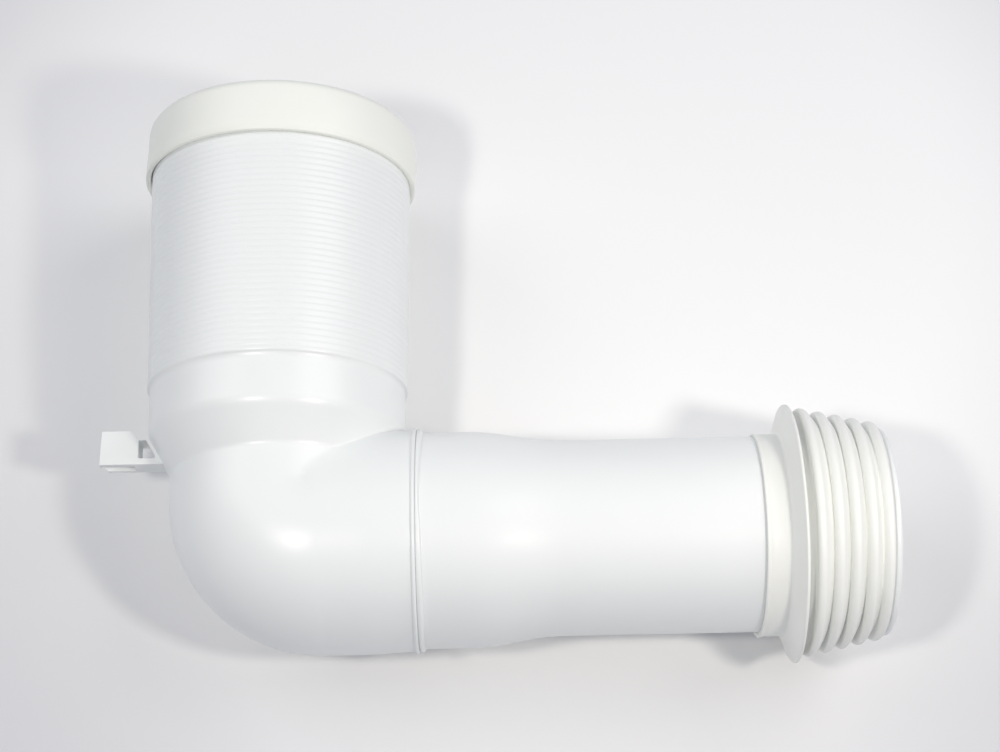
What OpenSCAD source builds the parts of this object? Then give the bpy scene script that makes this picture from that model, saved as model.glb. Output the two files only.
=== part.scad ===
// Waste elbow: a 90 degree connector from a pan's outlet to a soil pipe.
// It lies flat. The socket's axis runs along +Y, the outlet's axis along +X.
// The origin is on the socket's axis, at the sealing land of the inlet seal.

/* [Socket] */
// Radius over the ribs, at the lowest rib
rib_r = 61.2; // [58:0.1:64]
// Growth of the radius for each millimetre towards the mouth
draft = 0.016; // [0:0.001:0.02]
// Distance from one rib to the next
rib_pitch = 3; // [2:0.1:5]
// Height of a rib above the wall
rib_h = 1.1; // [0.5:0.1:1.5]
// Distance from the outlet's axis to the lowest rib
rib_start = 73; // [66:1:80]
// Distance from the outlet's axis to the socket's mouth
mouth_y = 203; // [190:1:240]
// Radius of the socket's bore
socket_bore_r = 56.5; // [54:0.1:57]

/* [Bend] */
// Outer radius of the bend
bend_r = 51; // [48:0.1:52]
// Radius of the bend's centre line
bend_turn_r = 21; // [15:0.5:30]
// Distance from the socket's axis to the point the bend turns about
turn_x = 22.8; // [18:0.1:26]
// Distance from the outlet's axis to the point the bend turns about
turn_y = 20.1; // [18:0.1:26]
// Outer radius of the stub, where the bend ends
stub_r = 52; // [50:0.1:53]
// Outer radius of the stub at the weld
stub_end_r = 50.8; // [49:0.1:52]
// Outer radius of the neck, above the bend
neck_r = 49.9; // [48:0.1:52]
// Wall thickness of the moulding
wall = 3.6; // [2.5:0.1:4.5]
// Distance from the outlet's axis to the top of the neck
neck_y = 32.5; // [30:0.5:36]
// Distance from the outlet's axis to the corner of the shoulder
shoulder_y = 51; // [46:0.5:58]
// Distance from the socket's axis to the weld
weld_x = 66; // [60:1:80]

/* [Outlet pipe] */
// Outer radius of the pipe
pipe_r = 45; // [44:0.1:46]
// Outer radius of the pipe's wide end, at the weld
pipe_wide_r = 49.7; // [48:0.1:50.5]
// Wall thickness of the pipe
pipe_wall = 3.5; // [2.5:0.1:4]
// Where the pipe starts to narrow
taper_start = 90; // [80:1:100]
// Where the pipe has narrowed to its outer radius
taper_end = 131; // [120:1:150]
// Where the pipe ends
pipe_end = 280.3; // [270:0.1:320]

/* [Weld] */
// Height of the weld bead above the wall
bead_h = 1.1; // [0.6:0.1:2]
// Width of one of the bead's two rolls
bead_w = 1.9; // [1:0.1:3]

/* [Outlet seal] */
// Where the seal's sleeve starts
sleeve_start = 220.75; // [210:0.25:225]
// Thickness of the sleeve
sleeve_t = 1.5; // [1:0.1:3]
// Radius of the wide lip that covers the joint
lip_r = 59.3; // [56:0.1:62]
// Radius of the first fin
fin_r = 57.3; // [54:0.1:59]
// Loss of radius from one fin to the next
fin_step = 1.65; // [1:0.05:1.8]
// Distance from one fin to the next
fin_pitch = 7.7; // [7:0.1:9]
// Number of fins
fins = 5; // [3:1:5]
// Depth of the groove between two fins
fin_depth = 5.4; // [4:0.1:6]

/* [Inlet seal] */
// Outer radius of the seal's skirt at its lower rim
skirt_r = 65.7; // [65:0.1:68]
// Distance from the lower rim of the skirt to the seal's face
skirt_len = 27.5; // [22:0.1:32]
// Radius of the hole that grips the pan's outlet
grip_r = 49.5; // [48:0.1:51]
// Length of the land that grips the pan's outlet
land_len = 6; // [4:0.5:8]

/* [Lug] */
// How far the lug reaches from the socket's axis
lug_reach = 82; // [76:1:90]
// Where the lug starts, measured from the outlet's axis
lug_low_y = 37.8; // [36:0.1:42]
// Where the lug's outer plates end, measured from the outlet's axis
lug_high_y = 54; // [50:0.5:60]
// Thickness of the whole lug
lug_t = 12.6; // [10:0.2:14]
// Thickness of the lug's upper plate
lug_plate_t = 3.6; // [2.5:0.1:4.5]
// Width of the slot between the lug's two plates
lug_slot = 6.6; // [5:0.1:7]

/* [Hidden] */
$fn = 96;

white = [0.93, 0.95, 0.95];
seal_white = [0.93, 0.94, 0.9];

// The land of the inlet seal, measured from the outlet's axis
seal_face_y = mouth_y + 4.4;
land_top_y = seal_face_y - 16.4;
land_y = land_top_y - land_len / 2;

// Socket
crest_r = function (y) rib_r + draft * (y - rib_start);
ribs = floor((mouth_y - 11 - rib_start) / rib_pitch);
rib_end = rib_start + ribs * rib_pitch;
rib_groove = 0.45 * rib_pitch;
plain_r = rib_r - rib_h;
end_r = crest_r(rib_end) - rib_h;
corner = 3;
socket_floor_y = 62;
bend_bore_r = bend_r - wall;
neck_overlap = 2;
stub_start = turn_x - 14;
stub_draft_len = 23;
mouth_chamfer = 1;

// Outlet seal
seal_end = pipe_end - 3.3;
rim_r = pipe_r + 2.8;
sleeve_r = pipe_r + sleeve_t;
sleeve_len = 10.5;
lip_root = sleeve_start + sleeve_len;
lip_lean = 5.1;
lip_t = 1.8;
fin_start = 240.6;
tip_round = 2.2;
fin_groove = 1;
fin_rise = 0.3;

// Points of an arc about [cx, cy] from angle a to angle b
arc = function (cx, cy, r, a, b, steps)
    [for (i = [0:steps]) let (t = a + (b - a) * i / steps) [cx + r * cos(t), cy + r * sin(t)]];

// A profile of [radius, distance] turned about the socket's axis, along +Y
module about_y(points) {
    rotate([-90, 0, 0])
        rotate_extrude()
            polygon([for (p = points) [p[0], p[1]]]);
}

// A profile of [radius, distance] turned about the outlet's axis, along +X
module about_x(points) {
    rotate([0, 90, 0])
        rotate_extrude()
            polygon([for (p = points) [p[0], p[1]]]);
}

// Everything is drawn from the crossing of the two axes, then moved to the origin
module from_crossing() {
    translate([0, -land_y, 0]) children();
}

// Outside of the socket: neck, sloping shoulder, plain band, ribs, plain end
module socket_outside() {
    rounding = arc(plain_r - corner, shoulder_y + 1.2, corner, -25, 0, 3);
    rib_points = [
        for (i = [0:ribs - 1])
            let (y = rib_start + i * rib_pitch, crest = crest_r(y))
                each [
                    [crest, y],
                    [crest, y + rib_pitch - rib_groove],
                    [crest - rib_h, y + rib_pitch - rib_groove / 2],
                ]
    ];
    about_y(concat(
        [[0, turn_y], [neck_r, turn_y], [neck_r, neck_y]],
        rounding,
        [[plain_r, rib_start - rib_h / 2]],
        rib_points,
        [[end_r, rib_end], [end_r, mouth_y - mouth_chamfer], [end_r - mouth_chamfer, mouth_y], [0, mouth_y]]
    ));
}

// Inside of the socket, down to the bend's bore
module socket_inside() {
    about_y([
        [0, turn_y], [bend_bore_r - 2, turn_y], [bend_bore_r - 2, neck_y + neck_overlap],
        [socket_bore_r - 1.5, shoulder_y + 1], [socket_bore_r - 0.5, socket_floor_y],
        [socket_bore_r, socket_floor_y], [socket_bore_r, mouth_y + 1], [0, mouth_y + 1],
    ]);
}

// A quarter turn of tube about the turning point
module bend_solid(r) {
    translate([turn_x, turn_y, 0])
        rotate([0, 0, 180])
            rotate_extrude(angle = 90)
                intersection() {
                    translate([bend_turn_r, 0]) circle(r = r);
                    translate([0, -r]) square([bend_turn_r + r, 2 * r]);
                }
}

// The straight piece that joins the bend to the neck
module neck_solid(r) {
    translate([turn_x - bend_turn_r, turn_y, 0])
        rotate([-90, 0, 0])
            cylinder(r = r, h = neck_y + neck_overlap - turn_y);
}

// Outside of the outlet's stub, with half of the weld bead at its end
module stub_outside() {
    about_x(concat(
        [[0, stub_start], [bend_r - 1.5, stub_start], [stub_r, turn_x + 2]],
        [[stub_r, weld_x - stub_draft_len], [stub_end_r, weld_x - bead_w]],
        arc(stub_end_r + bead_h - bead_w / 2, weld_x - bead_w / 2, bead_w / 2, -90, 90, 6),
        [[0, weld_x]]
    ));
}

module stub_inside() {
    stub_bore_r = stub_end_r - wall;
    about_x([[0, turn_x - 1], [stub_bore_r, turn_x - 1], [stub_bore_r, weld_x + 1], [0, weld_x + 1]]);
}

// Lug on the side of the shoulder: a block with a window, and a slot between two plates
module lug() {
    step_y = 50;
    inner_x = 50;
    block_x = 66.5;
    corner_r = 4.5;
    corner_x = -69.5;
    rib_t = 2.8;
    bar_t = 0.6;
    window_x = -64.2;
    window_w = 7.8;
    window_top_w = 3.6;
    corner_cut = 2.5;
    lower_z = -lug_t / 2;
    slot_z = lug_t / 2 - lug_plate_t - lug_slot;
    difference() {
        translate([0, 0, lower_z])
            linear_extrude(lug_t)
                difference() {
                    polygon(concat(
                        [[-inner_x, lug_low_y], [-inner_x, step_y], [corner_x + corner_r, step_y]],
                        arc(corner_x, lug_high_y - corner_r, corner_r, 0, 90, 6),
                        [[-lug_reach, lug_high_y], [-lug_reach, lug_low_y]]
                    ));
                    polygon([
                        [window_x, lug_low_y + rib_t], [window_x + window_w, lug_low_y + rib_t],
                        [window_x + window_top_w, step_y - bar_t], [window_x, step_y - bar_t],
                    ]);
                }
        translate([-lug_reach - 1, lug_low_y - 1, slot_z])
            cube([lug_reach + 1 - block_x, lug_high_y - lug_low_y + 2, lug_slot]);
        translate([-lug_reach, lug_low_y, 0])
            linear_extrude(2 * (lug_t - lug_plate_t), center = true)
                polygon([[-1, -1], [corner_cut + 1, -1], [-1, corner_cut + 1]]);
    }
}

// One moulding: ribbed socket, shoulder, bend, stub with its half of the bead, lug
module elbow_body() {
    color(white)
        from_crossing()
            difference() {
                union() {
                    socket_outside();
                    neck_solid(bend_r);
                    bend_solid(bend_r);
                    stub_outside();
                    lug();
                }
                socket_inside();
                neck_solid(bend_bore_r);
                bend_solid(bend_bore_r);
                stub_inside();
            }
}

// Radius along the narrowing stretch, a smooth S from r1 to r2
s_curve = function (t, r1, r2) r1 + (r2 - r1) * t * t * (3 - 2 * t);

// Pipe from the weld to the end, with the other half of the bead and an end rim
module outlet_pipe() {
    steps = 10;
    taper = [for (i = [0:steps]) let (t = i / steps) [t, taper_start + (taper_end - taper_start) * t]];
    outside = concat(
        arc(pipe_wide_r + bead_h - bead_w / 2, weld_x + bead_w / 2, bead_w / 2, -90, 90, 6),
        [[pipe_wide_r, weld_x + bead_w]],
        [for (p = taper) [s_curve(p[0], pipe_wide_r, pipe_r), p[1]]]
    );
    color(white)
        from_crossing()
            difference() {
                about_x(concat(
                    [[0, weld_x]],
                    outside,
                    [[pipe_r, seal_end], [rim_r, seal_end], [rim_r, pipe_end - 1], [rim_r - 1, pipe_end], [0, pipe_end]]
                ));
                about_x(concat(
                    [[0, weld_x - 1], [pipe_wide_r - pipe_wall, weld_x - 1]],
                    [for (p = taper) [s_curve(p[0], pipe_wide_r, pipe_r) - pipe_wall, p[1]]],
                    [[pipe_r - pipe_wall, pipe_end + 1], [0, pipe_end + 1]]
                ));
            }
}

// Rubber collar over the socket's mouth, with an inner lip that grips the pan's outlet
module inlet_seal() {
    skirt_y = seal_face_y - skirt_len;
    skirt_t = 2.4;
    edge = 5;
    top_r = skirt_r - 0.4;
    lining_r = socket_bore_r - 2.4;
    mouth_r = 57;
    color(seal_white)
        from_crossing()
            about_y(concat(
                [[skirt_r - skirt_t, skirt_y], [skirt_r, skirt_y]],
                arc(top_r - edge, seal_face_y - edge, edge, 0, 90, 6),
                [
                    [mouth_r, seal_face_y], [mouth_r - 1.5, seal_face_y - 1],
                    [grip_r, land_top_y], [grip_r, land_top_y - land_len],
                    [grip_r + 2, land_top_y - land_len], [grip_r + 2.2, land_top_y],
                    [lining_r, land_top_y + 6], [lining_r, mouth_y - 22],
                    [socket_bore_r, mouth_y - 22], [socket_bore_r, mouth_y],
                    [end_r - mouth_chamfer, mouth_y], [end_r, mouth_y - mouth_chamfer], [end_r, mouth_y - 7],
                    [skirt_r - skirt_t, mouth_y - 11],
                ]
            ));
}

// One fin between two grooves: steep behind, with a round tip, sloping away in front
fin_points = function (x, r, next_x)
    let (floor_r = max(r - fin_depth, sleeve_r), half = fin_groove / 2)
        concat(
            [[floor_r, x + half]],
            arc(r - tip_round, x + half + fin_rise + tip_round, tip_round, -75, 60, 6),
            [[floor_r, next_x - half]]
        );

// Rubber sleeve with a wide soft lip and fins that press on the soil pipe's bore
module outlet_seal() {
    lip_edge = lip_root + lip_lean;
    color(seal_white)
        from_crossing()
            about_x(concat(
                [
                    [pipe_r, sleeve_start], [sleeve_r + 0.5, sleeve_start], [sleeve_r + 0.5, sleeve_start + 1.2],
                    [sleeve_r, sleeve_start + 1.7], [sleeve_r, lip_root],
                ],
                arc(lip_r - lip_t / 2, lip_edge, lip_t / 2, -60, 120, 5),
                [[sleeve_r + 2.2, lip_root + 3], [sleeve_r + 1.2, lip_root + 4.5]],
                [
                    for (i = [0:fins - 1])
                        let (x = fin_start + i * fin_pitch, last = i == fins - 1)
                            each fin_points(x, fin_r - i * fin_step, last ? seal_end + fin_groove / 2 : x + fin_pitch)
                ],
                [[pipe_r, seal_end]]
            ));
}

elbow_body();
outlet_pipe();
inlet_seal();
outlet_seal();
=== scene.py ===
"""Looks of the waste elbow.

A white ribbed socket, a welded outlet pipe and two pale rubber seals lie on a pale table.
"""

import math

import bmesh
import bpy
import numpy as np
from mathutils import Matrix, Vector


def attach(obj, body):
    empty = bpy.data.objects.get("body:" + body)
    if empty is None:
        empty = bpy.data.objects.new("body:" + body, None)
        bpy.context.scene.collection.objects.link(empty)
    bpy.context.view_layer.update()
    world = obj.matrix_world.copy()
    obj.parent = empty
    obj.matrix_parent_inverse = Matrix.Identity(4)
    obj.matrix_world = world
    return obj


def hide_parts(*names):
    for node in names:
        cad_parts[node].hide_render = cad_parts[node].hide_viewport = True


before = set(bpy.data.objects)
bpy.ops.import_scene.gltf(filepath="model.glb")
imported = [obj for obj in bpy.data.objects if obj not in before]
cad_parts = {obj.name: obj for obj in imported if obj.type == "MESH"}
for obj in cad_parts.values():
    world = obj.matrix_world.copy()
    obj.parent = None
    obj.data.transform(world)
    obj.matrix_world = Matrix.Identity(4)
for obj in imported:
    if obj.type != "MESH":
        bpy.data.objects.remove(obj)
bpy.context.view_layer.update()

MM = 0.001
LAND_Y = 188.0  # from the crossing of the two axes to the origin of the frame, along the socket
SEGMENTS = 192
ANGLES = np.linspace(0, 2 * np.pi, SEGMENTS, endpoint=False)

# Sizes in millimetres, measured from the crossing of the axes: X along the outlet, Y along the socket
RIB_START, RIB_PITCH, RIB_COUNT, RIB_H = 73.0, 3.0, 39, 1.1
RIB_R, RIB_DRAFT = 61.2, 0.016
# Shares of the pitch along one rib, each with the share of RIB_H that the surface lies below the crest
RIB_SHAPE = ((0.05, 0.02), (0.48, 0.0), (0.62, 0.12), (0.76, 0.24), (0.9, 0.12))
PLAIN_R, MOUTH_Y, SOCKET_BORE = 60.1, 203.0, 56.5
NECK_R, NECK_Y, CONE_SLOPE, WALL = 49.7, 32.5, 0.577, 3.6
TURN = np.array([22.8, 20.1])
TURN_OUTER, TUBE_IN, TUBE_OUT, TUBE_WELD = 72.0, 50.0, 51.8, 50.8
WELD_X, BEAD_W, BEAD_H = 66.0, 1.9, 1.1
FAN_X, FAN_Y = 63.4, 66.0
SHOULDER_FILLET, CREASE_FILLET, CROTCH_FILLET = 1.3, 0.4, 2.0
PIPE_R, PIPE_WIDE, PIPE_WALL = 45.0, 49.7, 3.5
TAPER, PIPE_END, RIM_W = (90.0, 131.0), 280.3, 3.3
SEAL_END = PIPE_END - RIM_W
FACE_Y, FACE_ROUND, SKIRT_R, SKIRT_T = MOUTH_Y + 4.4, 5.0, 65.7, 2.6
SKIRT_Y, SKIRT_INNER = FACE_Y - 27.5, SKIRT_R - SKIRT_T
GRIP_R, GRIP_Y, LINING_R, SEAT_R = 49.5, FACE_Y - 16.4, 54.1, 61.97
SLEEVE_START, SLEEVE_R = 220.75, 46.5
LIP_ROOT, LIP_R, LIP_T, LIP_LEAN = 231.4, 59.3, 1.6, 5.0
FIN_START, FIN_PITCH, FIN_COUNT = 240.6, 7.7, 5
FIN_R, FIN_STEP, FIN_DEPTH, FIN_KNOB = 57.3, 1.65, 5.4, 2.2


def smooth_step(t):
    """A soft climb from 0 to 1 while t goes from 0 to 1."""
    t = np.clip(t, 0, 1)
    return t * t * (3 - 2 * t)


def ramp(v, start, width):
    """A soft climb from 0 where v is at start to 1 where it is width further."""
    return smooth_step((v - start) / width)


def soft_min(a, b, k):
    """The smaller of two distances, with a fillet of about k where they meet."""
    h = np.clip(k - np.abs(a - b), 0, None) / k
    return np.minimum(a, b) - h * h * k / 4


def arc(cx, cy, r, start, end, steps):
    """Points of an arc between two angles in degrees, both ends included."""
    t = np.radians(np.linspace(start, end, steps + 1))
    return [(cx + r * math.cos(a), cy + r * math.sin(a)) for a in t]


def waves(angles, seed, orders, size):
    """A gentle closed wave round a ring, the same on every run."""
    rng = np.random.default_rng(seed)
    out = np.zeros_like(angles)
    for n in orders:
        out += np.sin(n * angles + rng.uniform(0, 2 * np.pi)) * rng.uniform(0.4, 1) / n
    return out * size / np.abs(out).max()


def ring_mesh(name, rings):
    """A closed skin of quads over rings of points in millimetres. The last ring joins the first."""
    rings = np.asarray(rings)
    count, around = rings.shape[:2]
    points = (rings.reshape(-1, 3) - [0, LAND_Y, 0]) * MM
    i, j = np.arange(count)[:, None], np.arange(around)[None, :]
    up, on = (i + 1) % count, (j + 1) % around
    faces = np.stack([i * around + j, i * around + on, up * around + on, up * around + j], -1)
    mesh = bpy.data.meshes.new(name)
    mesh.from_pydata(points.tolist(), [], faces.reshape(-1, 4).tolist())
    bm = bmesh.new()
    bm.from_mesh(mesh)
    bmesh.ops.recalc_face_normals(bm, faces=bm.faces)
    bm.to_mesh(mesh)
    bm.free()
    mesh.shade_smooth()
    obj = bpy.data.objects.new(name, mesh)
    bpy.context.scene.collection.objects.link(obj)
    return obj


def rings_x(profile):
    """Rings about the outlet's axis from (radius, x) pairs."""
    return np.array([[(x, -r * math.cos(a), r * math.sin(a)) for a in ANGLES] for r, x in profile])


def rings_y(profile):
    """Rings about the socket's axis from (radius, y) pairs."""
    return np.array([[(-r * math.cos(a), y, r * math.sin(a)) for a in ANGLES] for r, y in profile])


# Elbow


def cone_radius(y, offset=0.0):
    """Radius of the sloping shoulder, up to the plain band above it."""
    slant = 1.15  # radius that the slope loses for each unit of wall
    rising = NECK_R + (y - NECK_Y) * CONE_SLOPE - offset * slant
    return soft_min(rising, np.full_like(y, PLAIN_R - offset), SHOULDER_FILLET)


def skin(x, y, z, offset=0.0):
    """Distance to the outside of shoulder, bend and stub, or to a skin that lies offset further in."""
    cone_share, cone_low_y = 0.9, 22  # the share makes the distance about square to the slope
    narrow_from, narrow_over, fade = 40, 24, 0.02
    cone = (np.hypot(x, z) - cone_radius(y, offset)) * cone_share
    socket = np.maximum(cone, cone_low_y - y)
    neck = np.hypot(x - (TURN[0] - TURN_OUTER + TUBE_IN), z) - TUBE_IN + offset
    dx, dy = TURN[0] - x, TURN[1] - y
    turned = smooth_step(np.arctan2(np.clip(dy, 0, None), np.clip(dx, 1e-6, None)) * 2 / np.pi)
    tube = TUBE_IN + (TUBE_OUT - TUBE_IN) * turned
    bend = np.hypot(np.hypot(dx, dy) - (TURN_OUTER - tube), z) - tube + offset
    narrowing = (TUBE_OUT - TUBE_WELD) * ramp(x, narrow_from, narrow_over)
    stub_r = TUBE_OUT - narrowing - fade * np.clip(dx, 0, None) ** 2
    stub = np.hypot(y, z) - stub_r + offset
    turning = np.where(dx > 0, np.minimum(bend, stub), stub)
    tubes = np.where(dy < 0, soft_min(neck, stub, CROTCH_FILLET), turning)
    return soft_min(tubes, socket, CREASE_FILLET)


def fan(angles_deg, offset=0.0):
    """Rings in planes that pivot about the inner corner, from across the socket to across the stub."""
    nearest, furthest, halvings = 25.0, 95.0, 26
    ca, sa = np.cos(ANGLES), np.sin(ANGLES)
    rings = []
    for degrees in angles_deg:
        a = math.radians(degrees)
        out = np.array([-FAN_X * math.cos(a), -FAN_Y * math.sin(a)])
        centre = np.array([FAN_X, FAN_Y]) + out
        out = out / np.linalg.norm(out)
        low, high = np.full(SEGMENTS, nearest), np.full(SEGMENTS, furthest)
        for _ in range(halvings):
            mid = (low + high) / 2
            reach = mid * ca
            inside = skin(centre[0] + reach * out[0], centre[1] + reach * out[1], mid * sa, offset) < 0
            low, high = np.where(inside, mid, low), np.where(inside, high, mid)
        rings.append(np.stack([centre[0] + low * ca * out[0], centre[1] + low * ca * out[1], low * sa], 1))
    return np.array(rings)


def crest_radius(y):
    """Radius of the ribs' crests, which grows with the socket's draft."""
    return RIB_R + RIB_DRAFT * (y - RIB_START)


def socket_profile():
    """Plain band, ribs, the smooth end under the collar and the bore, as (radius, y) pairs."""
    rib_end = RIB_START + RIB_COUNT * RIB_PITCH
    end_r = crest_radius(rib_end) - RIB_H
    profile = [
        (PLAIN_R, FAN_Y), (PLAIN_R, 69.5), (PLAIN_R, RIB_START - 0.8), (PLAIN_R + 0.55, RIB_START - 0.35),
    ]
    for i in range(RIB_COUNT):
        for share, depth in RIB_SHAPE:
            at = RIB_START + i * RIB_PITCH + share * RIB_PITCH
            profile.append((crest_radius(at) - depth * RIB_H, at))
    profile[-1] = (end_r + 0.05, rib_end - 0.3)
    profile += [(end_r, rib_end), (end_r, 196), (end_r, MOUTH_Y - 1)]
    profile += [(end_r - 0.3, MOUTH_Y - 0.3), (end_r - 1, MOUTH_Y)]
    profile += [(SOCKET_BORE + 0.6, MOUTH_Y), (SOCKET_BORE, MOUTH_Y - 0.6)]
    return profile + [(SOCKET_BORE, y) for y in (190, 165, 140, 115, 90, 75)]


def elbow_rings():
    """The whole body but the lug: outside to the weld, back through the bore, and round the socket."""
    outer_rings, crowding, inner_rings = 188, 1.15, 46
    outer = fan(90 * np.linspace(0, 1, outer_rings)[1:] ** crowding)
    bead_top = TUBE_WELD + BEAD_H - BEAD_W / 2
    bead = [(TUBE_WELD, WELD_X - BEAD_W - 0.25)]
    bead += arc(bead_top, WELD_X - BEAD_W / 2, BEAD_W / 2, -90, 90, 6)
    stub_bore = TUBE_WELD - WALL
    tail = rings_x(bead + [(TUBE_WELD - 0.6, WELD_X), (stub_bore, WELD_X), (stub_bore, WELD_X - 1)])
    inner = fan(np.linspace(90, 0, inner_rings), WALL)
    return np.concatenate([outer, tail, inner, rings_y(socket_profile()[::-1])])


def prism(outline, z0, z1):
    """A solid with straight sides over a closed outline of (x, y) pairs in millimetres."""
    bm = bmesh.new()
    low = [bm.verts.new((x * MM, (y - LAND_Y) * MM, z0 * MM)) for x, y in outline]
    high = [bm.verts.new((x * MM, (y - LAND_Y) * MM, z1 * MM)) for x, y in outline]
    bm.faces.new(low[::-1])
    bm.faces.new(high)
    for k in range(len(outline)):
        n = (k + 1) % len(outline)
        bm.faces.new((low[k], low[n], high[n], high[k]))
    bmesh.ops.recalc_face_normals(bm, faces=bm.faces)
    mesh = bpy.data.meshes.new("prism")
    bm.to_mesh(mesh)
    bm.free()
    obj = bpy.data.objects.new("prism", mesh)
    bpy.context.scene.collection.objects.link(obj)
    return obj


def apply_modifiers(obj):
    """Bake an object's modifiers into its mesh."""
    bpy.context.view_layer.update()
    mesh = bpy.data.meshes.new_from_object(obj.evaluated_get(bpy.context.evaluated_depsgraph_get()))
    obj.modifiers.clear()
    obj.data = mesh


def cut(obj, *tools):
    """Take the tools' solids out of an object, and remove the tools."""
    for tool in tools:
        m = obj.modifiers.new("cut", "BOOLEAN")
        m.operation, m.solver, m.object = "DIFFERENCE", "EXACT", tool
    apply_modifiers(obj)
    for tool in tools:
        bpy.data.objects.remove(tool)


def rectangle(x0, x1, y0, y1):
    return [(x0, y0), (x1, y0), (x1, y1), (x0, y1)]


def make_lug():
    """A block with a tapered window beside the shoulder, and two plates with a slot between them."""
    reach, inner_x, block_x, step_x = 82.0, -50.0, -66.3, -65.0
    low_y, high_y, step_y = 37.7, 54.0, 50.0
    thick, slot_low, slot_high = 6.3, -3.7, 2.7
    corner_r, corner_cut, past = 4.5, 3.5, 2
    soft_edge, edge_angle, sharp_angle = 0.28 * MM, math.radians(25), math.radians(50)
    outline = [(inner_x, low_y), (inner_x, step_y), (step_x, step_y)]
    outline += arc(step_x - corner_r, high_y - corner_r, corner_r, 0, 90, 8)
    outline += [(-reach + 0.6, high_y), (-reach, low_y)]
    lug = prism(outline, -thick, thick)
    # The window's four rounded corners
    window = arc(-63.5, 41.3, 0.7, 180, 270, 3) + arc(-57.1, 41.5, 0.9, 270, 380, 5)
    window += arc(-61.0, 48.8, 0.6, 20, 90, 3) + arc(-63.6, 48.8, 0.6, 90, 180, 3)
    slot = prism(rectangle(-reach - past, block_x, low_y - past, high_y + past), slot_low, slot_high)
    triangle = [(-reach - 1, low_y - 1), (-reach + corner_cut, low_y - 1)]
    triangle += [(-reach - 1, low_y + corner_cut)]
    corner = prism(triangle, -thick - 1, 0)
    cut(lug, prism(window, -thick - past, thick + past), slot, corner)
    m = lug.modifiers.new("soft edges", "BEVEL")
    m.width, m.segments, m.limit_method, m.angle_limit = soft_edge, 3, "ANGLE", edge_angle
    apply_modifiers(lug)
    lug.data.shade_smooth()
    lug.data.set_sharp_from_angle(angle=sharp_angle)
    return lug


def join(target, other):
    """Make one object of two, under the first one's name."""
    with bpy.context.temp_override(active_object=target, selected_editable_objects=[target, other]):
        bpy.ops.object.join()


# Outlet pipe


# Millimetres that the weld's outlet edge moves along the pipe, at degrees from the far side over the top
WELD_ANGLES = [0, 29, 55, 68, 80, 105, 136, 180, 230, 290, 330, 360]
WELD_EDGE = [0.4, 0.9, 0.5, 0.0, -0.35, 0.5, 1.1, 0.2, 0.8, -0.2, 0.6, 0.4]


def s_curve(x):
    """Radius of the pipe's outside where it narrows."""
    return PIPE_WIDE + (PIPE_R - PIPE_WIDE) * ramp(x, TAPER[0], TAPER[1] - TAPER[0])


def pipe_profile():
    """Weld bead, wide end, S curve, straight pipe and end rim, then the bore, as (radius, x) pairs."""
    rim_r, bead_rise, rim_round, mouth_chamfer = PIPE_R + 2.8, 1.5, 1.4, 0.8
    top = PIPE_WIDE + bead_rise - BEAD_W / 2
    outside = [(PIPE_WIDE - 0.4, WELD_X)] + arc(top, WELD_X + BEAD_W / 2, BEAD_W / 2, -90, 90, 8)
    outside += [(PIPE_WIDE + 0.12, WELD_X + BEAD_W + 0.3), (PIPE_WIDE, WELD_X + BEAD_W + 0.9)]
    outside += [(PIPE_WIDE, x) for x in (72, 78, 84)]
    outside += [(s_curve(x), x) for x in np.linspace(*TAPER, 25)]
    outside += [(PIPE_R, x) for x in (140, 155, 170, 185, 200, 215, 230, 260, SEAL_END)]
    outside += [(rim_r, SEAL_END), (rim_r, PIPE_END - 1.6)]
    outside += arc(rim_r - rim_round, PIPE_END - rim_round, rim_round, 0, 90, 4)[1:]
    bore, wide_bore = PIPE_R - PIPE_WALL, PIPE_WIDE - PIPE_WALL
    inside = [(bore + mouth_chamfer, PIPE_END), (bore, PIPE_END - mouth_chamfer)]
    inside += [(bore, x) for x in (260, 220, 180, 150)]
    inside += [(s_curve(x) - PIPE_WALL, x) for x in np.linspace(TAPER[1], TAPER[0], 12)]
    return outside + inside + [(wide_bore, 78), (wide_bore, WELD_X)]


def pipe_rings():
    """The pipe's rings, with the weld's outlet side wandering and a little lumpy."""
    fade_end, fade_over, lump_size = WELD_X + 3.2, 1.3, 0.28
    rings = rings_x(pipe_profile())
    angle = np.degrees(np.arctan2(rings[..., 2], rings[..., 1])) % 360
    edge = np.interp(angle, WELD_ANGLES, WELD_EDGE)
    x = rings[..., 0]
    share = np.clip((x - WELD_X) / BEAD_W, 0, 1) * np.clip((fade_end - x) / fade_over, 0, 1)
    radius = np.hypot(rings[..., 1], rings[..., 2])
    rings[..., 0] += share * edge
    on_bead = (x > WELD_X) & (x < WELD_X + BEAD_W + 0.1) & (radius > PIPE_WIDE)
    lumps = waves(np.radians(angle), seed=4, orders=(3, 7, 12, 19), size=lump_size) / 50
    lump = 1 + np.where(on_bead, lumps, 0)
    rings[..., 1] *= lump
    rings[..., 2] *= lump
    return rings


# Seals


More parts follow.
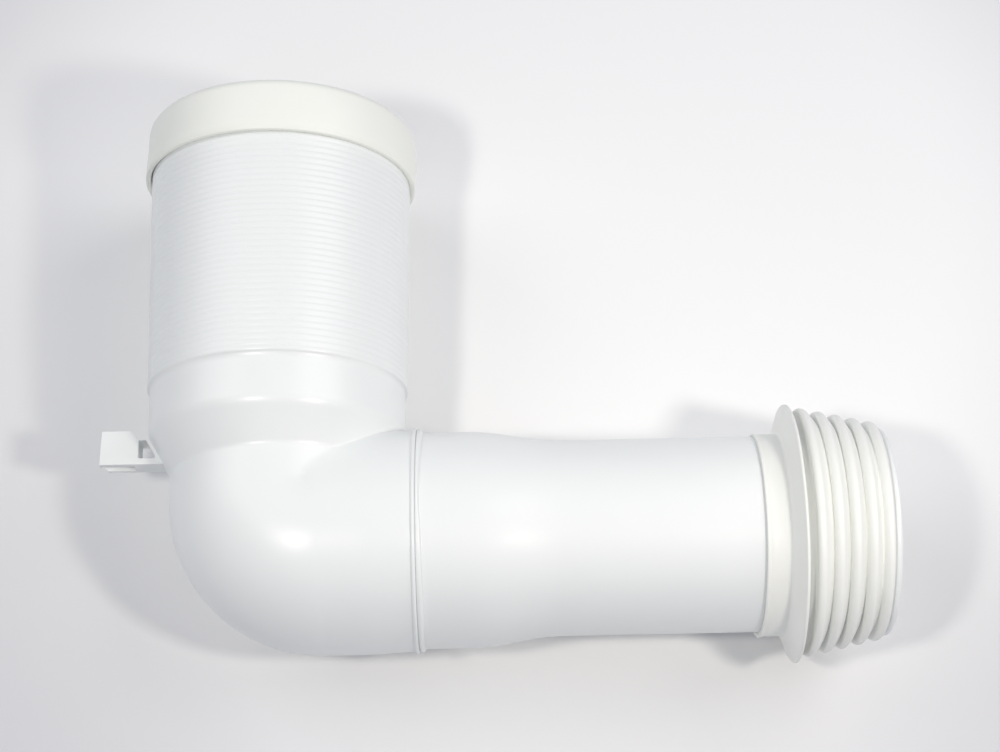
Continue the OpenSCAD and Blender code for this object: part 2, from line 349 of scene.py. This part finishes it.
def inlet_seal_profile():
    """Rim, skirt and rounded face, then the gripping lip, the lining and the seat, as (radius, y) pairs."""
    rim = [(SKIRT_INNER, SKIRT_Y + 0.6), (SKIRT_INNER + 0.2, SKIRT_Y + 0.15), (SKIRT_INNER + 0.7, SKIRT_Y)]
    rim += [(SKIRT_R - 0.5, SKIRT_Y), (SKIRT_R, SKIRT_Y + 0.5)]
    skirt = [(SKIRT_R - 0.05, SKIRT_Y + 6), (SKIRT_R - 0.2, SKIRT_Y + 14)]
    skirt += arc(SKIRT_R - 0.4 - FACE_ROUND, FACE_Y - FACE_ROUND, FACE_ROUND, 0, 90, 14)
    face = [(58.5, FACE_Y), (57.4, FACE_Y), (56.6, FACE_Y - 0.4), (55.6, FACE_Y - 1.4)]
    grip = [(52.6, GRIP_Y + 6), (50.2, GRIP_Y + 1.6), (GRIP_R, GRIP_Y), (GRIP_R, GRIP_Y - 3)]
    grip += [(GRIP_R, GRIP_Y - 5.4), (GRIP_R + 0.5, GRIP_Y - 6), (GRIP_R + 1.6, GRIP_Y - 6)]
    grip += [(GRIP_R + 2.1, GRIP_Y - 5.5), (GRIP_R + 2.3, GRIP_Y)]
    lining = [(LINING_R, GRIP_Y + 6), (LINING_R, MOUTH_Y - 12), (LINING_R, MOUTH_Y - 21.5)]
    lining += [(54.6, MOUTH_Y - 22), (SOCKET_BORE, MOUTH_Y - 22), (SOCKET_BORE, MOUTH_Y - 10)]
    seat = [(SOCKET_BORE, MOUTH_Y), (SEAT_R - 1, MOUTH_Y), (SEAT_R, MOUTH_Y - 1), (SEAT_R, MOUTH_Y - 7)]
    seat += [(SKIRT_INNER, MOUTH_Y - 11), (SKIRT_INNER, SKIRT_Y + 6)]
    return rim + skirt + face + grip + lining + seat


def inlet_seal_rings():
    """The collar's rings, with the soft skirt's bulge and flare, and the small tilt of its outside."""
    tilt, tilt_y, soft_width, skirt_from, outer_from, outer_over = 0.015, 190, 12, 62, 58, 5
    bulge, bulge_y, bulge_width, drawn_in, flare, side_power = 1.3, 195, 5, 0.3, 0.1, 1.5
    rim_wave, skirt_wave = 0.35, 0.2
    rings = rings_y(inlet_seal_profile())
    x, y, z = rings[..., 0], rings[..., 1], rings[..., 2]
    angle, radius = np.arctan2(z, -x), np.hypot(x, z)
    outer = ramp(radius, outer_from, outer_over)
    low = smooth_step((SKIRT_Y + soft_width - y) / soft_width) * (radius > skirt_from)
    right = np.clip(-np.cos(angle), 0, 1) ** side_power
    left = np.clip(np.cos(angle), 0, 1) ** side_power
    # The soft skirt bulges on the outlet's side and flares at the rim on the other
    swell = right * (bulge * np.exp(-((y - bulge_y) / bulge_width) ** 2) - drawn_in * low)
    swell += left * flare * low
    swell += low * waves(angle, seed=12, orders=(2, 3, 4), size=skirt_wave)
    wander = waves(angle, seed=11, orders=(1, 2, 3, 5), size=rim_wave)
    rings[..., 1] += low * wander - outer * tilt * x
    grow = 1 + swell * outer * (radius > SKIRT_INNER - 0.1) / SKIRT_R
    rings[..., 0] = x * grow + outer * tilt * (y - tilt_y)
    rings[..., 2] = z * grow
    return rings


def fin_profile(i):
    """One fin: a groove's floor, the round tip, and the slope down to the next groove."""
    root_angle, tip_angle, tip_steps, sag = -72, 60, 11, 0.15
    x, r = FIN_START + i * FIN_PITCH, FIN_R - i * FIN_STEP
    after = SEAL_END + 0.5 if i == FIN_COUNT - 1 else x + FIN_PITCH
    floor = max(r - FIN_DEPTH, SLEEVE_R)
    points = [(floor, x + 0.42), (floor + 0.3, x + 0.6), (floor + (r - FIN_KNOB - floor) * 0.6, x + 0.75)]
    points += arc(r - FIN_KNOB, x + 3, FIN_KNOB, root_angle, tip_angle, tip_steps)
    a, b = points[-1], (floor + 0.4, after - 0.6)
    for t in (0.35, 0.7):
        points.append((a[0] + (b[0] - a[0]) * t + sag * math.sin(math.pi * t), a[1] + (b[1] - a[1]) * t))
    return points + [b, (floor, after - 0.42)]


def outlet_seal_profile():
    """Sleeve edge, the leaning wide lip, five fins and the seat on the pipe, as (radius, x) pairs."""
    curl = 1.1
    profile = [(PIPE_R, SLEEVE_START), (SLEEVE_R + 0.2, SLEEVE_START), (SLEEVE_R + 0.5, SLEEVE_START + 0.3)]
    profile += [(SLEEVE_R + 0.5, SLEEVE_START + 1.1), (SLEEVE_R + 0.3, SLEEVE_START + 1.5)]
    profile += [(SLEEVE_R, SLEEVE_START + 1.8), (SLEEVE_R, 226), (SLEEVE_R, LIP_ROOT - 0.5)]
    profile += [(SLEEVE_R + 0.08, LIP_ROOT), (SLEEVE_R + 0.5, LIP_ROOT + 0.3)]
    for t in (0.2, 0.4, 0.6, 0.8, 0.93):
        at = LIP_ROOT + 0.3 + (LIP_LEAN - 0.9) * t ** curl
        profile.append((SLEEVE_R + 0.5 + t * (LIP_R - SLEEVE_R - 1), at))
    profile += arc(LIP_R - LIP_T / 2, LIP_ROOT + LIP_LEAN, LIP_T / 2, -55, 120, 7)
    for t in (0.85, 0.65, 0.45, 0.25, 0.1):
        at = LIP_ROOT + 2.4 + (LIP_LEAN - 1.9) * t ** curl
        profile.append((SLEEVE_R + 2.2 + t * (LIP_R - SLEEVE_R - 3.2), at))
    profile += [(SLEEVE_R + 1.6, LIP_ROOT + 3), (SLEEVE_R + 1.4, LIP_ROOT + 4.4)]
    profile += [(SLEEVE_R + 2.0, LIP_ROOT + 6.2), (SLEEVE_R + 4, LIP_ROOT + 8.4)]
    for i in range(FIN_COUNT):
        profile += fin_profile(i)
    profile[-1] = (profile[-1][0], SEAL_END)
    return profile + [(PIPE_R, SEAL_END), (PIPE_R, 262), (PIPE_R, 240)]


def outlet_seal_rings():
    """The finned seal's rings, with shallower grooves along the top and the soft shape of lip and fins."""
    left_deep, raise_share, raise_side = 1.4, 0.4, 0.35
    push, push_angle, push_width, near_push, fin_lean = 0.5, 12, 30, 0.8, 0.7
    lip_edge_wave, lip_wave, fin_wave, fin_wave_r = 0.4, 0.35, 0.16, 55
    slant, fin_shift, lip_shift = 0.0085, 0.45, 0.6
    rings = rings_x(outlet_seal_profile())
    x, radius = rings[..., 0].copy(), np.hypot(rings[..., 1], rings[..., 2])
    angle = np.arctan2(rings[..., 2], rings[..., 1])
    far, up = rings[..., 1] / radius, rings[..., 2] / radius
    # The grooves are shallowest along the top and have their full depth underneath
    below = FIN_R - FIN_STEP * (x - FIN_START - 3) / FIN_PITCH - radius
    raised = np.clip(below - left_deep, 0, None) * raise_share * np.clip(up + raise_side, 0, 1)
    raised *= (radius > SLEEVE_R - 0.1) * ramp(x - LIP_ROOT, 3, 4)
    rings[..., 1:] *= (1 + raised / radius)[..., None]
    free = ramp(radius, SLEEVE_R, 6)
    lip = free * (x > LIP_ROOT - 1) * (x < FIN_START - 0.8)
    fin = free * (1 - lip)
    # The wide lip is soft, so its edge waves a little, and the fins lean to the pipe's end along the top
    pushed = push * np.exp(-((np.degrees(angle) - push_angle) / push_width) ** 2)
    pushed += near_push * np.clip(-far, 0, 1) ** 2
    rings[..., 0] += lip * (pushed + waves(angle, seed=21, orders=(2, 3, 5), size=lip_edge_wave))
    rings[..., 0] += fin * fin_lean * np.clip(up, 0, 1) * ramp(x, 243, 8)
    stretch = 1 + lip * waves(angle, seed=22, orders=(2, 4, 7), size=lip_wave) / LIP_R
    stretch += fin * waves(angle, seed=23, orders=(2, 3, 6), size=fin_wave) / fin_wave_r
    rings[..., 1] *= stretch
    rings[..., 2] *= stretch
    rings[..., 0] -= free * slant * rings[..., 1] * (1 - ramp(x, 245, 20))
    shift = fin_shift * ramp(x, 232, 8) - lip_shift * smooth_step((238 - x) / 6)
    rings[..., 1] += np.where(radius > PIPE_R + 0.05, shift, 0)
    return rings


# Materials


def new_material(name, colour, roughness):
    m = bpy.data.materials.new(name)
    m.use_nodes = True
    nt = m.node_tree
    shader = nt.nodes["Principled BSDF"]
    shader.inputs["Base Color"].default_value = (*colour, 1)
    shader.inputs["Roughness"].default_value = roughness
    return m, nt, shader


def noise(nt, coord, scale, detail, rough=0.55, stretch=None):
    n = nt.nodes.new("ShaderNodeTexNoise")
    n.inputs["Scale"].default_value = scale
    n.inputs["Detail"].default_value = detail
    n.inputs["Roughness"].default_value = rough
    if stretch:
        mapping = nt.nodes.new("ShaderNodeMapping")
        mapping.inputs["Scale"].default_value = stretch
        nt.links.new(coord, mapping.inputs["Vector"])
        coord = mapping.outputs["Vector"]
    nt.links.new(coord, n.inputs["Vector"])
    return n.outputs["Fac"]


def map_range(nt, value, low, high, to_low, to_high):
    n = nt.nodes.new("ShaderNodeMapRange")
    for socket, v in zip(("From Min", "From Max", "To Min", "To Max"), (low, high, to_low, to_high)):
        n.inputs[socket].default_value = v
    nt.links.new(value, n.inputs["Value"])
    return n.outputs["Result"]


def mix_colour(nt, factor, a, b):
    n = nt.nodes.new("ShaderNodeMix")
    n.data_type = "RGBA"
    nt.links.new(factor, n.inputs["Factor"])
    for socket, v in (("A", a), ("B", b)):
        target = [s for s in n.inputs if s.name == socket and s.type == "RGBA"][0]
        if isinstance(v, tuple):
            target.default_value = (*v, 1)
        else:
            nt.links.new(v, target)
    return [s for s in n.outputs if s.type == "RGBA"][0]


def bump(nt, height, strength, distance, normal=None):
    n = nt.nodes.new("ShaderNodeBump")
    n.inputs["Strength"].default_value = strength
    n.inputs["Distance"].default_value = distance
    nt.links.new(height, n.inputs["Height"])
    if normal:
        nt.links.new(normal, n.inputs["Normal"])
    return n.outputs["Normal"]


def plastic(name, colour, shade):
    """Moulded polypropylene: an even satin gloss, faint flow marks and a fine orange peel."""
    # The denoiser left specks in tries with a lower roughness
    rough_low, rough_high, flow_rough = 0.285, 0.32, 0.03
    along_flow = (1, 0.25, 1)
    m, nt, shader = new_material(name, colour, 0.3)
    coord = nt.nodes.new("ShaderNodeTexCoord").outputs["Object"]
    cloud = map_range(nt, noise(nt, coord, scale=14, detail=3), 0.35, 0.65, 0, 1)
    streaks = noise(nt, coord, scale=60, detail=3, rough=0.6, stretch=along_flow)
    flow = map_range(nt, streaks, 0.4, 0.62, 0, 1)
    tone = mix_colour(nt, cloud, colour, shade)
    nt.links.new(tone, shader.inputs["Base Color"])
    rough = nt.nodes.new("ShaderNodeMath")
    rough.operation = "ADD"
    uneven = noise(nt, coord, scale=120, detail=5, rough=0.7)
    nt.links.new(map_range(nt, uneven, 0.3, 0.7, rough_low, rough_high), rough.inputs[0])
    nt.links.new(map_range(nt, flow, 0, 1, 0, flow_rough), rough.inputs[1])
    nt.links.new(rough.outputs[0], shader.inputs["Roughness"])
    peel = bump(nt, noise(nt, coord, scale=300, detail=2), strength=0.05, distance=0.0002)
    sink = bump(nt, noise(nt, coord, scale=22, detail=1), strength=0.08, distance=0.002, normal=peel)
    nt.links.new(sink, shader.inputs["Normal"])
    shader.inputs["IOR"].default_value = 1.49
    shader.inputs["Specular IOR Level"].default_value = 0.5
    return m


def rubber(name, colour, shade, dust):
    """Pale thermoplastic rubber: matt, a little uneven in tone, with a fine dusty grain."""
    rough_low, rough_high, dust_share = 0.4, 0.52, 0.3
    m, nt, shader = new_material(name, colour, 0.5)
    coord = nt.nodes.new("ShaderNodeTexCoord").outputs["Object"]
    cloud = map_range(nt, noise(nt, coord, scale=30, detail=4, rough=0.6), 0.38, 0.66, 0, 1)
    tone = mix_colour(nt, cloud, colour, shade)
    specks = map_range(nt, noise(nt, coord, scale=1500, detail=2), 0.68, 0.8, 0, dust_share)
    nt.links.new(mix_colour(nt, specks, tone, dust), shader.inputs["Base Color"])
    uneven = noise(nt, coord, scale=160, detail=5, rough=0.7)
    nt.links.new(map_range(nt, uneven, 0.3, 0.7, rough_low, rough_high), shader.inputs["Roughness"])
    grain = bump(nt, noise(nt, coord, scale=1100, detail=3, rough=0.6), strength=0.1, distance=0.0001)
    dents = bump(nt, noise(nt, coord, scale=45, detail=2), strength=0.15, distance=0.001, normal=grain)
    nt.links.new(dents, shader.inputs["Normal"])
    shader.inputs["IOR"].default_value = 1.5
    return m


def table_top(name, bright, painted_shade, centre):
    """A plain white table with painted light fall-off: its colour dims away from the part, between two
    distances in metres.
    """
    full_until, dim_from = 0.2, 0.42
    m, nt, shader = new_material(name, bright, 0.75)
    coord = nt.nodes.new("ShaderNodeTexCoord").outputs["Object"]
    away = nt.nodes.new("ShaderNodeVectorMath")
    away.operation = "DISTANCE"
    away.inputs[1].default_value = centre
    nt.links.new(coord, away.inputs[0])
    # Painted light fall-off: the colour darkens with distance from the part, standing in for the lamps'
    # pool of light
    painted_falloff = nt.nodes.new("ShaderNodeMapRange")
    painted_falloff.interpolation_type = "SMOOTHSTEP"
    painted_falloff.inputs["From Min"].default_value = full_until
    painted_falloff.inputs["From Max"].default_value = dim_from
    nt.links.new(away.outputs["Value"], painted_falloff.inputs["Value"])
    nt.links.new(mix_colour(nt, painted_falloff.outputs["Result"], bright, painted_shade), shader.inputs["Base Color"])
    grain = bump(nt, noise(nt, coord, scale=300, detail=3), strength=0.04, distance=0.0002)
    nt.links.new(grain, shader.inputs["Normal"])
    shader.inputs["Specular IOR Level"].default_value = 0.15
    return m


body_white = plastic("body_white", colour=(0.855, 0.875, 0.87), shade=(0.84, 0.862, 0.86))
pipe_white = plastic("pipe_white", colour=(0.858, 0.878, 0.873), shade=(0.845, 0.867, 0.864))
collar_cream = rubber(
    "collar_cream", colour=(0.895, 0.91, 0.855), shade=(0.885, 0.9, 0.84), dust=(0.855, 0.865, 0.80)
)
fin_cream = rubber(
    "fin_cream", colour=(0.885, 0.895, 0.862), shade=(0.877, 0.887, 0.848), dust=(0.85, 0.858, 0.81)
)

elbow = ring_mesh("elbow", elbow_rings())
join(elbow, make_lug())
pipe = ring_mesh("spigot_pipe", pipe_rings())
collar = ring_mesh("inlet_collar", inlet_seal_rings())
fins = ring_mesh("finned_seal", outlet_seal_rings())
for obj, node, slot, material in (
    (elbow, "elbow_body", "body_plastic", body_white),
    (pipe, "outlet_pipe", "pipe_plastic", pipe_white),
    (collar, "inlet_seal", "collar_rubber", collar_cream),
    (fins, "outlet_seal", "fin_rubber", fin_cream),
):
    obj.data.materials.clear()
    obj.data.materials.append(material)
    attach(obj, "root")
    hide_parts(node)


# Table: the plane through the three places the part rests on


def row(x, y, z):
    """A place in the frame, from millimetres measured at the crossing of the axes."""
    return Vector((x, y - LAND_Y, z)) * MM


def make_table():
    under_collar, under_ribs, under_lip = row(0, 178.6, -65.75), row(0, 73.5, -61.25), row(237.5, 0, -59.35)
    # The second colour is painted shade, which the table fades to away from the part
    bright, painted_shade, size = (0.925, 0.925, 0.925), (0.65, 0.65, 0.675), 3.0
    normal = (under_ribs - under_collar).cross(under_lip - under_collar).normalized()
    mesh = bpy.data.meshes.new("table")
    bm = bmesh.new()
    bmesh.ops.create_grid(bm, x_segments=1, y_segments=1, size=size)
    bm.to_mesh(mesh)
    bm.free()
    obj = bpy.data.objects.new("table", mesh)
    turn = normal.to_track_quat("Z", "Y").to_matrix().to_4x4()
    obj.matrix_world = Matrix.Translation(under_collar) @ turn
    bpy.context.scene.collection.objects.link(obj)
    # Centre of the painted pool of light on the table
    painted_light_centre = obj.matrix_world.inverted() @ row(130, 200, -63)
    obj.data.materials.append(table_top("table_white", bright, painted_shade, painted_light_centre))


make_table()


# Camera: the photograph's own place, fitted to the edges of the collar, the socket, the pipe and the fins


def make_camera():
    elevation, azimuth, distance = math.radians(70.105), math.radians(-1.197), 951.811
    aim = row(105.171, 80.099, 0)
    sensor, lens = 36.0, 72.07
    nearest, furthest = 0.05, 20.0
    flat = math.cos(elevation)
    back = Vector((math.sin(azimuth) * flat, -math.cos(azimuth) * flat, math.sin(elevation)))
    right = Vector((math.cos(azimuth), math.sin(azimuth), 0))
    up = back.cross(right)
    data = bpy.data.cameras.new("camera")
    data.sensor_width, data.lens = sensor, lens
    data.clip_start, data.clip_end = nearest, furthest
    cam = bpy.data.objects.new("camera", data)
    place = aim + back * distance * MM
    cam.matrix_world = Matrix.Translation(place) @ Matrix((right, up, back)).transposed().to_4x4()
    bpy.context.scene.collection.objects.link(cam)
    bpy.context.scene.camera = cam


make_camera()


# Light


def lamp(name, at, size, watts, colour):
    """A square soft lamp, placed in millimetres, its side in metres, turned to the middle of the part."""
    place, middle = row(*at), row(105, 80, 0)
    data = bpy.data.lights.new(name, "AREA")
    data.shape, data.size, data.energy, data.color = "SQUARE", size, watts, colour
    obj = bpy.data.objects.new(name, data)
    turn = (place - middle).to_track_quat("Z", "Y").to_matrix().to_4x4()
    obj.matrix_world = Matrix.Translation(place) @ turn
    bpy.context.scene.collection.objects.link(obj)


soft_white = (1.0, 0.985, 0.97)
lamp("key_right", at=(509, -190, 684), size=0.08, watts=2.08, colour=(1.0, 0.94, 0.86))
lamp("key_left", at=(-268, -215, 976), size=0.1, watts=2.9, colour=(1.0, 0.96, 0.87))
lamp("soft_right", at=(1500, 650, 1600), size=1.4, watts=15, colour=soft_white)
lamp("soft_left", at=(-1350, 900, 1400), size=1.4, watts=10, colour=soft_white)

sky, sky_strength = (0.8, 0.85, 1.0, 1), 0.33
world = bpy.data.worlds.new("studio")
world.use_nodes = True
world.node_tree.nodes["Background"].inputs["Color"].default_value = sky
world.node_tree.nodes["Background"].inputs["Strength"].default_value = sky_strength
bpy.context.scene.world = world
bpy.context.scene.view_settings.view_transform = "Standard"
